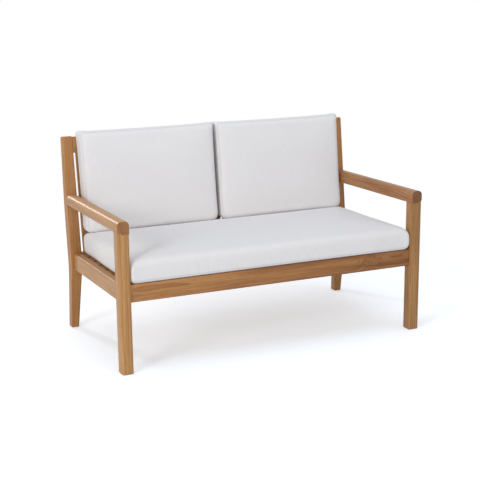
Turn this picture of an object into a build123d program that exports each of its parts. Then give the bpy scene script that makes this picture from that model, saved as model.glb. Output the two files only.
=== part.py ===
from build123d import *
from math import atan2, cos, degrees, radians, sin, tan
import os

# Patio loveseat: a teak frame with a slatted seat and back, and three loose boxed cushions.
# Millimetres. X runs across the seat, Y from front to back, Z up. Left is -X, seen from
# the front. The origin is on the floor, under the middle of the frame's outline.

# Whole frame
overall_width = 1320.0
overall_depth = 710.0
post_height = 820.0

# Front legs
leg_width = 47.0
leg_depth = 47.0
leg_front_round = 9.0
leg_back_round = 4.0
leg_tenon_side = 20.0
leg_tenon_height = 22.0
leg_cope_height = 8.0
foot_bevel = 3.0

# Back posts: bent planks, raked back at the foot and leaning back above the seat
post_foot_depth = 39.0
post_foot_width = 33.0
post_foot_kick = 33.0
post_waist_depth = 52.5
post_waist_height = 268.0
post_bend_height = 300.0
post_bend_radius = 400.0
post_shoulder_height = 545.0
post_shoulder_setback = 10.0
post_top_setback = 4.0
post_top_depth = 18.0
post_taper_height = 260.0
post_round = 4.0
post_foot_bevel = 3.0

# Arms
arm_thickness = 50.0
arm_front_height = 546.0
arm_fall = 1.0
arm_top_round = 17.0
arm_outer_under_round = 14.0
arm_inner_under_round = 3.0
arm_end_round = 1.5
arm_tenon_width = 16.0
arm_tenon_height = 26.0
arm_tenon_length = 24.0

# Seat rails
seat_height = 349.0
seat_fall = 1.2
rail_height = 70.0
rail_thickness = 28.0
rail_round = 3.0
side_rail_round = 5.0
front_rail_setback = 12.0
side_rail_setback = 13.0
rear_rail_advance = 2.0
rail_tenon_thickness = 12.0
rail_tenon_shoulder = 12.0
cross_tenon_length = 16.0
side_tenon_thickness = 10.0
side_tenon_inset = 4.0
side_tenon_length = 32.0

# Clearance round every tenon in its mortise
joint_fit = 0.2

# Back frame
top_rail_height = 67.0
top_rail_thickness = 16.0
top_rail_setback = 1.0
top_rail_drop = 1.0
top_rail_round = 3.0
top_tenon_length = 20.0
top_tenon_thickness = 8.0
top_tenon_shoulder = 12.0
back_slat_width = 62.0
back_slat_thickness = 11.0
back_slat_gap = 10.0
back_slat_housing = 12.0
back_slat_round = 2.0

# Seat slats, the battens under their ends and the bearer under their middle
seat_slat_width = 60.0
seat_slat_thickness = 16.0
seat_slat_gap = 20.0
seat_slat_end_gap = 0.8
seat_slat_round = 3.0
cleat_width = 22.0
cleat_height = 22.0
cleat_end_gap = 0.8
bearer_width = 28.0
bearer_height = 44.0
bearer_tenon_length = 12.0
bearer_tenon_shoulder = 10.0
bearer_tenon_thickness = 12.0

# Corner blocks
block_reach = 70.0
block_height = 24.0
block_clearance = 0.8
block_screw_grip = 20.0
block_screw_share = 0.5

# Wood screws
screw_radius = 2.0
screw_head_radius = 4.0
screw_head_depth = 2.6
screw_tip_length = 4.0
screw_fit = 0.1
screw_sink = 0.4
screw_slot_width = 0.9
screw_slot_length = 4.6
screw_slot_depth = 1.2
slat_screw_length = 30.0
cleat_screw_length = 38.0
block_screw_length = 38.0
screw_overrun = 40.0

# Cushions
cushion_draw_in = 2.0
cushion_edge = 26.0
cover_thickness = 1.6
soft_gap = 0.3
seat_cushion_side_gap = 1.0
seat_cushion_setback = 4.0
seat_cushion_back_gap = 14.0
seat_cushion_thickness = 113.0
seat_cushion_corner = 14.0
seat_press_height = 92.0
seat_press_share = 0.84
back_cushion_side_gap = 9.0
back_cushion_gap = 8.0
back_cushion_rise = 22.0
back_cushion_thickness = 98.0
back_cushion_sink = 4.0
back_cushion_top_corner = 12.0
back_cushion_foot_corner = 34.0
zip_length = 420.0
zip_width = 12.0

# A cushion's outlines from its flat face to its crown: the share of the thickness, then
# how far the outline lies in, as shares of the edge's softness and of the short side.
# The seat's crown lies further in at the back, where the back cushions press it down.
cushion_outline_shares = [
    (0.00, 0.46, 0.00),
    (0.05, 0.14, 0.00),
    (0.13, 0.03, 0.00),
    (0.40, 0.00, 0.00),
    (0.60, 0.04, 0.00),
    (0.70, 0.19, 0.00),
    (0.77, 0.46, 0.00),
    (0.82, 0.92, 0.00),
    (0.88, 1.00, 0.06),
    (0.94, 1.00, 0.13),
    (1.00, 1.00, 0.25),
]
seat_crown_back_share = 2.0

# Places worked out from the sizes above
front_y = -overall_depth / 2
back_y = overall_depth / 2
outer_x = overall_width / 2
inner_x = outer_x - leg_width
leg_back_y = front_y + leg_depth
leg_mid_x = outer_x - leg_width / 2
leg_mid_y = front_y + leg_depth / 2
bend_y = back_y - post_foot_kick - post_waist_depth
post_top_y = back_y - post_top_setback - post_top_depth
lean = degrees(atan2(post_top_y - bend_y, post_height - post_bend_height))
side_rail_outer_x = outer_x - side_rail_setback
side_rail_inner_x = side_rail_outer_x - rail_thickness
front_rail_y = front_y + front_rail_setback
front_rail_back_y = front_rail_y + rail_thickness
rear_rail_y = bend_y + rear_rail_advance

# The seat's plane falls to the back from the front rail's top edge. The back's plane
# touches the leaning front faces of the posts, with its normal to the front.
seat_plane = Plane(
    origin=(0, front_rail_y, seat_height),
    x_dir=(1, 0, 0),
    z_dir=(0, sin(radians(seat_fall)), cos(radians(seat_fall))),
)
back_plane = Plane(
    origin=(0, bend_y, post_bend_height),
    x_dir=(1, 0, 0),
    z_dir=(0, -cos(radians(lean)), sin(radians(lean))),
)
arm_plane = Plane(
    origin=(0, front_y, arm_front_height),
    x_dir=(-1, 0, 0),
    z_dir=(0, cos(radians(arm_fall)), -sin(radians(arm_fall))),
)


def seat_z(y, drop=0.0):
    """Height at y of the seat's plane, or of a plane that lies a drop below it."""
    return seat_height - (y - front_rail_y) * tan(radians(seat_fall)) - drop / cos(radians(seat_fall))


def arm_under_z(y):
    """Height of the arm's underside at y."""
    return arm_front_height - (y - front_y) * tan(radians(arm_fall))


def seat_bar(x0, width, y0, y1, drop, height):
    """A bar along Y, from x0 to x0 + width, whose top lies a drop below the seat's plane."""
    with BuildPart() as bar:
        with BuildSketch(Plane.YZ.offset(x0)):
            with BuildLine():
                Polyline(
                    (y0, seat_z(y0, drop)),
                    (y1, seat_z(y1, drop)),
                    (y1, seat_z(y1, drop + height)),
                    (y0, seat_z(y0, drop + height)),
                    close=True,
                )
            make_face()
        extrude(amount=width)
    return bar.part


def save(piece, name):
    """Labels a finished piece and writes its STEP file."""
    piece.label = name
    export_step(piece, f"parts/{name}.step")


def save_pair(piece, name):
    """Writes a left-hand piece, and its mirror image as the right-hand one."""
    with BuildPart() as twin:
        add(piece)
        mirror(about=Plane.YZ, mode=Mode.REPLACE)
    save(piece, f"{name}_left")
    save(twin.part, f"{name}_right")


os.makedirs("parts", exist_ok=True)


# Wood screws

def wood_screw(length):
    """One countersunk screw at the origin, its head's top at zero and its shank along -Z."""
    with BuildPart() as screw:
        with BuildSketch(Plane.XZ):
            with BuildLine():
                Polyline(
                    (0, 0),
                    (screw_head_radius, 0),
                    (screw_radius, -screw_head_depth),
                    (screw_radius, screw_tip_length - length),
                    (0, -length),
                    close=True,
                )
            make_face()
        revolve(axis=Axis.Z)
        for slot in ((screw_slot_length, screw_slot_width), (screw_slot_width, screw_slot_length)):
            Box(
                *slot, screw_slot_depth,
                align=(Align.CENTER, Align.CENTER, Align.MAX), mode=Mode.SUBTRACT,
            )
    return screw.part


def screw_hole(length):
    """The hole that a screw at the origin needs, open above its head."""
    head = screw_head_radius + screw_fit
    shank = screw_radius + screw_fit
    with BuildPart() as hole:
        with BuildSketch(Plane.XZ):
            with BuildLine():
                Polyline(
                    (0, screw_overrun),
                    (head, screw_overrun),
                    (head, 0),
                    (shank, -screw_head_depth),
                    (shank, screw_tip_length - length),
                    (0, -length - screw_fit),
                    close=True,
                )
            make_face()
        revolve(axis=Axis.Z)
    return hole.part


def placed(piece, places):
    """Copies of a screw or its hole at these places, with the head just under flush."""
    with BuildPart() as group:
        with Locations(*[spot.offset(-screw_sink).location for spot in places]):
            add(piece)
    return group.part


def screw_holes(length, places):
    """The holes for screws of one length, with their heads at these places."""
    return placed(screw_hole(length), places)


# Side rails, with a bar through each whose two ends are its tenons

def side_tenon_bar(grow=0.0):
    """The left rail's tenon bar, grown all round for its mortises."""
    drop = rail_tenon_shoulder - grow
    return seat_bar(
        side_tenon_inset - side_rail_outer_x - grow,
        side_tenon_thickness + 2 * grow,
        leg_back_y - side_tenon_length - grow,
        bend_y + side_tenon_length + grow,
        drop,
        rail_height - 2 * drop,
    )


def post_outline():
    """Side view of a back post, with Y across and Z up."""
    with BuildSketch() as outline:
        with BuildLine():
            Polyline(
                (back_y - post_foot_depth, 0),
                (back_y, 0),
                (back_y - post_foot_kick, post_waist_height),
                (back_y - post_shoulder_setback, post_shoulder_height),
                (back_y - post_top_setback, post_height),
                (post_top_y, post_height),
                (bend_y, post_bend_height),
                close=True,
            )
        make_face()
        bends = outline.vertices().filter_by_position(Axis.Y, 0, post_height, inclusive=(False, False))
        fillet(bends, post_bend_radius)
    return outline.sketch


def post_blank():
    """The left post before it is tapered, as thick as the leg is wide."""
    with BuildPart() as blank:
        with BuildSketch(Plane.YZ.offset(-outer_x)):
            add(post_outline())
        extrude(amount=leg_width)
    return blank.part


# The left rail is cut to the curve of the post's front face
side_rail_blank = seat_bar(
    -side_rail_outer_x, rail_thickness, leg_back_y, bend_y + post_waist_depth / 2, 0, rail_height
)


# Slat places

def slat_places(span, width, gap):
    """Middles of the slats that fill a span, with equal gaps near the wanted one."""
    count = max(1, round((span - gap) / (width + gap)))
    even_gap = (span - count * width) / (count + 1)
    return [(even_gap + width) * (i + 1) - width / 2 for i in range(count)]


seat_span = (rear_rail_y - front_rail_back_y) / cos(radians(seat_fall))
seat_slat_s = [rail_thickness / cos(radians(seat_fall)) + s
               for s in slat_places(seat_span, seat_slat_width, seat_slat_gap)]
back_slat_x = [x - inner_x for x in slat_places(2 * inner_x, back_slat_width, back_slat_gap)]

# Screw places: two at each crossing of a slat, with the screws' heads up
cleat_mid_x = side_rail_inner_x - cleat_width / 2
slat_screw_spread = seat_slat_width / 4


def slat_screw_places(s, across):
    """Two screw places on the slat at s, for each crossing at the distances across."""
    return [
        Plane(
            origin=seat_plane.from_local_coords((x, s + side * slat_screw_spread, 0)),
            z_dir=seat_plane.z_dir,
        )
        for x in across
        for side in (-1, 1)
    ]


cleat_drop = seat_slat_thickness
cleat_screw_s = [(a + b) / 2 for a, b in zip(seat_slat_s, seat_slat_s[1:])]
cleat_screw_places = [
    Plane(
        origin=seat_plane.from_local_coords(
            (cleat_width - side_rail_inner_x, s, -cleat_drop - cleat_height / 2)
        ),
        z_dir=(1, 0, 0),
    )
    for s in cleat_screw_s
]


# Arms, cut to the leaning front faces of the posts

def post_front_y(z):
    """Where the leaning front face of a post lies at a height above its bend."""
    return bend_y + (z - post_bend_height) * tan(radians(lean))


arm_length = (post_front_y(arm_front_height) - front_y) / cos(radians(arm_fall))
arm_mid = (leg_mid_x, arm_thickness / 2)


def arm_tenon(grow=0.0):
    """The left arm's tenon into its post, rooted inside the arm."""
    with BuildPart() as tenon:
        with BuildSketch(arm_plane.offset(arm_length - arm_tenon_length)):
            with Locations(arm_mid):
                Rectangle(arm_tenon_width + 2 * grow, arm_tenon_height + 2 * grow)
        extrude(amount=2 * arm_tenon_length + grow)
    return tenon.part


def leg_tenon(grow=0.0):
    """The left front leg's tenon into the arm, rooted inside the leg."""
    side = leg_tenon_side + 2 * grow
    with BuildPart() as tenon:
        with BuildSketch(Plane.XY.offset(arm_front_height - leg_tenon_height)):
            with Locations((-leg_mid_x, leg_mid_y)):
                Rectangle(side, side)
        extrude(amount=2 * leg_tenon_height + grow)
    return tenon.part


with BuildPart() as arm_left:
    with BuildSketch(arm_plane) as arm_section:
        with Locations(arm_mid):
            Rectangle(leg_width, arm_thickness)
        fillet(arm_section.vertices().group_by(Axis.Y)[-1], arm_top_round)
        fillet(arm_section.vertices().group_by(Axis.Y)[0].sort_by(Axis.X)[-1], arm_outer_under_round)
        fillet(arm_section.vertices().group_by(Axis.Y)[0].sort_by(Axis.X)[0], arm_inner_under_round)
    extrude(amount=arm_length + post_top_depth)
    fillet(arm_left.faces().sort_by(Axis.Y)[0].edges(), arm_end_round)
    add(post_blank(), mode=Mode.SUBTRACT)
    add(arm_tenon())
    add(leg_tenon(joint_fit), mode=Mode.SUBTRACT)
save_pair(arm_left.part, "arm")


# Tenon bars of the rails that run across

def cross_tenon_bar(y, grow=0.0):
    """A bar across the frame, centred in a rail whose front face is at y."""
    with BuildPart() as bar:
        with Locations((0, y + rail_thickness / 2, seat_z(y) - rail_height / 2)):
            Box(
                2 * (inner_x + cross_tenon_length + grow),
                rail_tenon_thickness + 2 * grow,
                rail_height - 2 * rail_tenon_shoulder + 2 * grow,
            )
    return bar.part


def top_tenon_bar(grow=0.0):
    """The bar whose ends are the top rail's tenons."""
    with BuildPart() as bar:
        with BuildSketch(back_plane.offset(-top_rail_setback - top_rail_thickness / 2)):
            with Locations((0, top_rail_mid_u)):
                Rectangle(
                    2 * (inner_x + top_tenon_length + grow),
                    top_rail_height - 2 * (top_tenon_shoulder - grow),
                )
        extrude(amount=top_tenon_thickness / 2 + grow, both=True)
    return bar.part


top_rail_top_u = (post_height - top_rail_drop - post_bend_height) / cos(radians(lean))
top_rail_mid_u = top_rail_top_u - top_rail_height / 2


# Front legs, each coped at its outer side to the round under the arm

def leg_side_view(low, high):
    """Side view of the front leg between two heights over the arm's underside or the floor."""
    with BuildSketch() as view:
        with BuildLine():
            Polyline(
                (front_y, low(front_y)),
                (leg_back_y, low(leg_back_y)),
                (leg_back_y, high(leg_back_y)),
                (front_y, high(front_y)),
                close=True,
            )
        make_face()
    return view.sketch


def cope_top_z(y):
    """Height at y of the lip that the cope leaves at the leg's outer side."""
    return arm_under_z(y) + leg_cope_height


with BuildPart() as front_leg_left:
    with BuildSketch(Plane.YZ.offset(-outer_x)):
        add(leg_side_view(lambda y: 0.0, cope_top_z))
    extrude(amount=leg_width)
    fillet(front_leg_left.edges().filter_by(Axis.Z).group_by(Axis.Y)[0], leg_front_round)
    fillet(front_leg_left.edges().filter_by(Axis.Z).group_by(Axis.Y)[-1], leg_back_round)
    chamfer(front_leg_left.faces().sort_by(Axis.Z)[0].edges(), foot_bevel)
    with BuildSketch(Plane.YZ.offset(arm_outer_under_round - outer_x)):
        add(leg_side_view(arm_under_z, cope_top_z))
    extrude(amount=leg_width, mode=Mode.SUBTRACT)
    with BuildSketch(arm_plane):
        with Locations((outer_x - arm_outer_under_round, arm_outer_under_round)):
            Circle(arm_outer_under_round + joint_fit)
    extrude(amount=2 * leg_depth, mode=Mode.SUBTRACT)
    add(leg_tenon())
    add(side_tenon_bar(joint_fit), mode=Mode.SUBTRACT)
    add(cross_tenon_bar(front_rail_y, joint_fit), mode=Mode.SUBTRACT)
save_pair(front_leg_left.part, "front_leg")

# Back posts
with BuildPart() as back_post_left:
    add(post_blank())
    with BuildSketch(Plane.XZ):
        with BuildLine():
            Polyline(
                (-outer_x, 0),
                (post_foot_width - outer_x, 0),
                (-inner_x, post_taper_height),
                (-inner_x, post_height),
                (-outer_x, post_height),
                close=True,
            )
        make_face()
    extrude(amount=overall_depth, both=True, mode=Mode.INTERSECT)
    foot_edges = back_post_left.faces().sort_by(Axis.Z)[0].edges()
    long_edges = [e for e in back_post_left.edges() if e not in foot_edges]
    fillet(long_edges, post_round)
    chamfer(back_post_left.faces().sort_by(Axis.Z)[0].edges(), post_foot_bevel)
    add(side_tenon_bar(joint_fit), mode=Mode.SUBTRACT)
    add(cross_tenon_bar(rear_rail_y, joint_fit), mode=Mode.SUBTRACT)
    add(arm_tenon(joint_fit), mode=Mode.SUBTRACT)
    add(top_tenon_bar(joint_fit), mode=Mode.SUBTRACT)
save_pair(back_post_left.part, "back_post")


# Corner blocks, each with one screw into the rail across and one into the side rail

class CornerBlock:
    """A left-hand block between a cross rail's face and the side rail's inner face."""

    def __init__(self, rail_y, leg_y, into):
        # into is +1 where the block reaches to the back, -1 where it reaches to the front
        self.rail_y, self.leg_y, self.into = rail_y, leg_y, into
        lowest_y = max(rail_y, leg_y + into * block_reach)
        self.top = seat_z(lowest_y, seat_slat_thickness + cleat_height)
        self.near_x = block_clearance - inner_x
        self.near_y = leg_y + into * block_clearance
        self.far_x = self.near_x + block_reach
        self.far_y = self.near_y + into * block_reach
        middle = self.top - block_height / 2
        self.cross_screw = Plane(
            origin=(
                self.near_x + block_reach * block_screw_share,
                rail_y + into * block_screw_grip,
                middle,
            ),
            z_dir=(0, into, 0),
        )
        self.side_screw = Plane(
            origin=(
                block_screw_grip - side_rail_inner_x,
                self.near_y + into * block_reach * block_screw_share,
                middle,
            ),
            z_dir=(1, 0, 0),
        )

    def solid(self):
        with BuildPart() as block:
            with BuildSketch(Plane.XY.offset(self.top)):
                with BuildLine():
                    Polyline(
                        (self.near_x, self.rail_y),
                        (self.far_x, self.rail_y),
                        (-side_rail_inner_x, self.far_y),
                        (-side_rail_inner_x, self.near_y),
                        (self.near_x, self.near_y),
                        close=True,
                    )
                make_face()
            extrude(amount=-block_height)
            add(screw_holes(block_screw_length, [self.cross_screw, self.side_screw]), mode=Mode.SUBTRACT)
        return block.part


front_block = CornerBlock(front_rail_back_y, leg_back_y, 1)
rear_block = CornerBlock(rear_rail_y, rear_rail_y, -1)


def mirrored(places):
    """The places' mirror images on the right."""
    return [
        Plane(
            origin=(-p.origin.X, p.origin.Y, p.origin.Z),
            z_dir=(-p.z_dir.X, p.z_dir.Y, p.z_dir.Z),
        )
        for p in places
    ]


for block, end in ((front_block, "front"), (rear_block, "rear")):
    save_pair(block.solid(), f"corner_block_{end}")

# Side rails
with BuildPart() as side_rail_left:
    add(side_rail_blank)
    outer_edges = side_rail_left.faces().sort_by(Axis.X)[0].edges().sort_by(Edge.length)[-2:]
    lower_edge, upper_edge = outer_edges.sort_by(Axis.Z)
    fillet(upper_edge, side_rail_round)
    fillet(lower_edge, rail_round)
    add(post_blank(), mode=Mode.SUBTRACT)
    add(side_tenon_bar())
    add(screw_holes(cleat_screw_length, cleat_screw_places), mode=Mode.SUBTRACT)
    block_screw_places = [front_block.side_screw, rear_block.side_screw]
    add(screw_holes(block_screw_length, block_screw_places), mode=Mode.SUBTRACT)
save_pair(side_rail_left.part, "side_rail")


def cross_rail(y):
    """A plain rail across the frame with its front face at y and its top in the seat's plane."""
    with BuildPart() as rail:
        with BuildSketch(Plane.YZ.offset(-inner_x)):
            with BuildLine():
                Polyline(
                    (y, seat_z(y)),
                    (y + rail_thickness, seat_z(y + rail_thickness)),
                    (y + rail_thickness, seat_z(y) - rail_height),
                    (y, seat_z(y) - rail_height),
                    close=True,
                )
            make_face()
        extrude(amount=2 * inner_x)
    return rail.part


# Front rail
bearer_drop = seat_slat_thickness


def bearer_tenon(grow=0.0):
    """The bar whose ends are the centre bearer's tenons."""
    drop = bearer_drop + bearer_tenon_shoulder - grow
    return seat_bar(
        -bearer_tenon_thickness / 2 - grow,
        bearer_tenon_thickness + 2 * grow,
        front_rail_back_y - bearer_tenon_length - grow,
        rear_rail_y + bearer_tenon_length + grow,
        drop,
        bearer_height - 2 * (bearer_tenon_shoulder - grow),
    )


with BuildPart() as front_rail:
    add(cross_rail(front_rail_y))
    fillet(front_rail.faces().sort_by(Axis.Y)[0].edges().filter_by(Axis.X), rail_round)
    add(cross_tenon_bar(front_rail_y))
    add(bearer_tenon(joint_fit), mode=Mode.SUBTRACT)
    block_screw_places = [front_block.cross_screw, *mirrored([front_block.cross_screw])]
    add(screw_holes(block_screw_length, block_screw_places), mode=Mode.SUBTRACT)
save(front_rail.part, "front_rail")

# Rear rail, with a pocket for the foot of each back slat
slat_foot_z = seat_z(rear_rail_y) - back_slat_housing
slat_low_u = (slat_foot_z - post_bend_height) / cos(radians(lean))
slat_high_u = top_rail_top_u - top_rail_height + back_slat_housing
slat_setback = top_rail_setback + (top_rail_thickness - back_slat_thickness) / 2


def back_slat(x, grow=0.0):
    """The back slat whose middle is at x, housed at both ends in the rails."""
    with BuildPart() as slat:
        with BuildSketch(back_plane.offset(grow - slat_setback)):
            with Locations((x, (slat_low_u + slat_high_u) / 2)):
                Rectangle(back_slat_width + 2 * grow, slat_high_u - slat_low_u + 2 * grow)
        extrude(amount=-back_slat_thickness - 2 * grow)
        if not grow:
            fillet(slat.edges().sort_by(Edge.length)[-4:], back_slat_round)
    return slat.part


with BuildPart() as rear_rail:
    add(cross_rail(rear_rail_y))
    add(cross_tenon_bar(rear_rail_y))
    for x in back_slat_x:
        add(back_slat(x, joint_fit), mode=Mode.SUBTRACT)
    add(bearer_tenon(joint_fit), mode=Mode.SUBTRACT)
    block_screw_places = [rear_block.cross_screw, *mirrored([rear_block.cross_screw])]
    add(screw_holes(block_screw_length, block_screw_places), mode=Mode.SUBTRACT)
save(rear_rail.part, "rear_rail")

# Top rail
with BuildPart() as top_rail:
    with BuildSketch(back_plane.offset(-top_rail_setback)):
        with Locations((0, top_rail_mid_u)):
            Rectangle(2 * inner_x, top_rail_height)
    extrude(amount=-top_rail_thickness)
    fillet(top_rail.edges().filter_by(Axis.X), top_rail_round)
    add(top_tenon_bar())
    for x in back_slat_x:
        add(back_slat(x, joint_fit), mode=Mode.SUBTRACT)
save(top_rail.part, "top_rail")

# Back slats
for number, x in enumerate(back_slat_x, 1):
    save(back_slat(x), f"back_slat_{number:02d}")

# Battens that carry the slats' ends, screwed to the side rails
slat_end_screws = [p for s in seat_slat_s for p in slat_screw_places(s, [-cleat_mid_x])]
slat_mid_screws = [p for s in seat_slat_s for p in slat_screw_places(s, [0])]
with BuildPart() as slat_cleat_left:
    add(
        seat_bar(
            -side_rail_inner_x, cleat_width,
            leg_back_y + cleat_end_gap, rear_rail_y - cleat_end_gap,
            cleat_drop, cleat_height,
        )
    )
    add(screw_holes(slat_screw_length, slat_end_screws), mode=Mode.SUBTRACT)
    add(screw_holes(cleat_screw_length, cleat_screw_places), mode=Mode.SUBTRACT)
save_pair(slat_cleat_left.part, "slat_cleat")

# Bearer under the middle of the slats
with BuildPart() as centre_bearer:
    add(
        seat_bar(
            -bearer_width / 2, bearer_width, front_rail_back_y, rear_rail_y,
            bearer_drop, bearer_height,
        )
    )
    add(bearer_tenon())
    add(screw_holes(slat_screw_length, slat_mid_screws), mode=Mode.SUBTRACT)
save(centre_bearer.part, "centre_bearer")

# Seat slats
for number, s in enumerate(seat_slat_s, 1):
    with BuildPart() as seat_slat:
        with BuildSketch(seat_plane):
            with Locations((0, s)):
                Rectangle(2 * (side_rail_inner_x - seat_slat_end_gap), seat_slat_width)
        extrude(amount=-seat_slat_thickness)
        fillet(seat_slat.edges().filter_by(Axis.X).sort_by(Axis.Z)[-2:], seat_slat_round)
        crossings = slat_screw_places(s, [-cleat_mid_x, 0, cleat_mid_x])
        add(screw_holes(slat_screw_length, crossings), mode=Mode.SUBTRACT)
    save(seat_slat.part, f"seat_slat_{number}")

# Screws, each kind one group of separate solids
block_screws = [s for b in (front_block, rear_block) for s in (b.cross_screw, b.side_screw)]
for name, length, places in (
    ("slat_screws", slat_screw_length, slat_end_screws + slat_mid_screws + mirrored(slat_end_screws)),
    ("cleat_screws", cleat_screw_length, cleat_screw_places + mirrored(cleat_screw_places)),
    ("block_screws", block_screw_length, block_screws + mirrored(block_screws)),
):
    save(placed(wood_screw(length), places), name)


# Cushions. Each has a sewn cover, a foam core that fills it, and a zip in the cover's side.

def cushion_form(face, width, low, high, thickness, corners, skin, foot_fall=0.0, back_share=1.0):
    """The soft form on a face's plane, lofted from its flat side to its crown. Corners are the
    radii at its low and high edges. The skin is how far the form lies inside the cover,
    foot_fall how fast its low edge drops with depth, and back_share how much further its
    crown lies in at the high edge."""
    with BuildPart() as form:
        short_side = min(width, high - low)
        for height_share, edge_share, crown_share in cushion_outline_shares:
            depth = skin + (thickness - 2 * skin) * height_share
            crown_inset = short_side * crown_share
            inset = skin + cushion_edge * edge_share
            x = width / 2 - inset - crown_inset
            bottom = low + inset + crown_inset - depth * foot_fall
            top = high - inset - crown_inset * back_share
            middle = (bottom + top) / 2
            with BuildSketch(face.offset(depth)) as outline:
                with BuildLine():
                    ThreePointArc((-x, bottom), (0, bottom + cushion_draw_in), (x, bottom))
                    ThreePointArc((x, bottom), (x - cushion_draw_in, middle), (x, top))
                    ThreePointArc((x, top), (0, top - cushion_draw_in), (-x, top))
                    ThreePointArc((-x, top), (cushion_draw_in - x, middle), (-x, bottom))
                make_face()
                low_corner, high_corner = corners
                fillet(outline.vertices().group_by(Axis.Y)[-1], high_corner)
                fillet(outline.vertices().group_by(Axis.Y)[0], low_corner)
        loft(ruled=True)
    return form.part


seat_cushion_width = 2 * (inner_x - seat_cushion_side_gap)
seat_cushion_low = (front_y + seat_cushion_setback - front_rail_y) / cos(radians(seat_fall))
seat_cushion_high = (rear_rail_y - seat_cushion_back_gap - front_rail_y) / cos(radians(seat_fall))
seat_cushion_face = seat_plane.offset(soft_gap)
press_plane = seat_plane.offset(seat_press_height)

# A back cushion's flat side meets the seat's pressed stretch at its foot
back_cushion_face = back_plane.offset(soft_gap - top_rail_setback)
foot_depth = (press_plane.origin - back_cushion_face.origin).dot(press_plane.z_dir)
back_cushion_foot_u = foot_depth / back_cushion_face.y_dir.dot(press_plane.z_dir)
foot_line = back_cushion_face.from_local_coords((0, back_cushion_foot_u, 0))
press_low = seat_plane.to_local_coords(foot_line).Y - seat_press_share * back_cushion_thickness


def seat_cushion_form(skin):
    """The seat cushion's form, pressed flat where the back cushions stand on it."""
    corners = (seat_cushion_corner, seat_cushion_corner)
    with BuildPart() as form:
        add(
            cushion_form(
                seat_cushion_face, seat_cushion_width, seat_cushion_low, seat_cushion_high,
                seat_cushion_thickness, corners, skin, back_share=seat_crown_back_share,
            )
        )
        with BuildSketch(press_plane.offset(-skin)):
            with Locations((0, press_low)):
                Rectangle(
                    seat_cushion_width, seat_cushion_high - press_low,
                    align=(Align.CENTER, Align.MIN),
                )
        extrude(amount=seat_cushion_thickness, mode=Mode.SUBTRACT)
    return form.part


# The back cushions lean on the slats and stand on the seat cushion's pressed stretch
back_cushion_width = inner_x - back_cushion_side_gap - back_cushion_gap / 2
back_cushion_x = (back_cushion_width + back_cushion_gap) / 2
back_cushion_foot_fall = tan(radians(lean - seat_fall))
back_cushion_high = top_rail_top_u + back_cushion_rise - back_cushion_foot_u


def back_cushion_plane(x):
    """The plane of a back cushion's flat side, with its origin where it meets the seat."""
    return Plane(
        origin=back_cushion_face.from_local_coords((x, back_cushion_foot_u, 0)),
        x_dir=back_cushion_face.x_dir,
        z_dir=back_cushion_face.z_dir,
    )


def back_cushion_form(x, skin):
    """A back cushion's form, flat below where it stands on the seat cushion."""
    corners = (back_cushion_foot_corner, back_cushion_top_corner)
    with BuildPart() as form:
        add(
            cushion_form(
                back_cushion_plane(x), back_cushion_width, -back_cushion_sink, back_cushion_high,
                back_cushion_thickness, corners, skin, foot_fall=back_cushion_foot_fall,
            )
        )
        split(bisect_by=press_plane.offset(soft_gap + skin), keep=Keep.TOP)
    return form.part


def save_cushion(form, slot_plane, name):
    """Writes a cushion's foam core, its cover, and the zip that closes a slot in the cover."""
    core = form(cover_thickness + soft_gap)
    with BuildPart() as cover:
        add(form(0.0))
        add(form(cover_thickness), mode=Mode.SUBTRACT)
    with BuildPart() as slot:
        with BuildSketch(slot_plane):
            Rectangle(zip_length, cushion_edge)
        extrude(amount=zip_width / 2, both=True)
    with BuildPart() as closure:
        add(cover.part)
        add(slot.part, mode=Mode.INTERSECT)
    with BuildPart() as slotted_cover:
        add(cover.part)
        add(slot.part, mode=Mode.SUBTRACT)
    save(core, f"{name}_core")
    save(slotted_cover.part, f"{name}_cover")
    save(closure.part, f"{name}_zip")


seat_zip_origin = (0, seat_cushion_high, seat_cushion_thickness / 2)
seat_zip_plane = Plane(
    origin=seat_plane.from_local_coords(seat_zip_origin),
    x_dir=seat_plane.x_dir,
    z_dir=seat_plane.z_dir,
)
save_cushion(seat_cushion_form, seat_zip_plane, "seat_cushion")
for side, name in ((-1, "left"), (1, "right")):
    x = side * back_cushion_x
    back_zip_plane = back_cushion_plane(x).offset(back_cushion_thickness / 2)
    save_cushion(lambda skin: back_cushion_form(x, skin), back_zip_plane, f"back_cushion_{name}")
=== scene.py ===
import math

import bmesh
import bpy
from mathutils import Matrix, Vector
from mathutils.bvhtree import BVHTree
from mathutils.kdtree import KDTree


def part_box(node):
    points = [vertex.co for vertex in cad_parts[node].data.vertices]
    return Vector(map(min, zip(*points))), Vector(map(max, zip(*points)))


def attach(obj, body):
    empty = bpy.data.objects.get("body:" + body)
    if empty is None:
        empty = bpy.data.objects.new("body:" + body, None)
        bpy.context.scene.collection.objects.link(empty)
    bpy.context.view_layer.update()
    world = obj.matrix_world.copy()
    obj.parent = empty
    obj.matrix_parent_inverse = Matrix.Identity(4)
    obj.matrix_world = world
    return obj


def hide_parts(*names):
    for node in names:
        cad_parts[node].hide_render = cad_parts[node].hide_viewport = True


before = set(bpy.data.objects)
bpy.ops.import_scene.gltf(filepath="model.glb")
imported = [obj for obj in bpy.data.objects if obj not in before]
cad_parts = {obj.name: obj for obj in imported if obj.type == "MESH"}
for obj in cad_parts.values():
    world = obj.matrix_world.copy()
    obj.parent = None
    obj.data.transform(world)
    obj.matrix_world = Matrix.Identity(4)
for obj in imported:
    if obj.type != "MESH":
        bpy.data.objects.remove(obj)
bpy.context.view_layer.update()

# The photograph's view of the loveseat
# A short telephoto lens 1.5 m over the floor and 4.8 m from the middle of the seat, in front of
# it and to its left, so that the left arm, the seat's front edge and both back cushions show.
viewpoint = Vector((-1.9486, -4.3003, 1.5049))
view_turn, view_tilt, view_roll = (math.radians(a) for a in (24.963, 14.678, -0.487))
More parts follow.
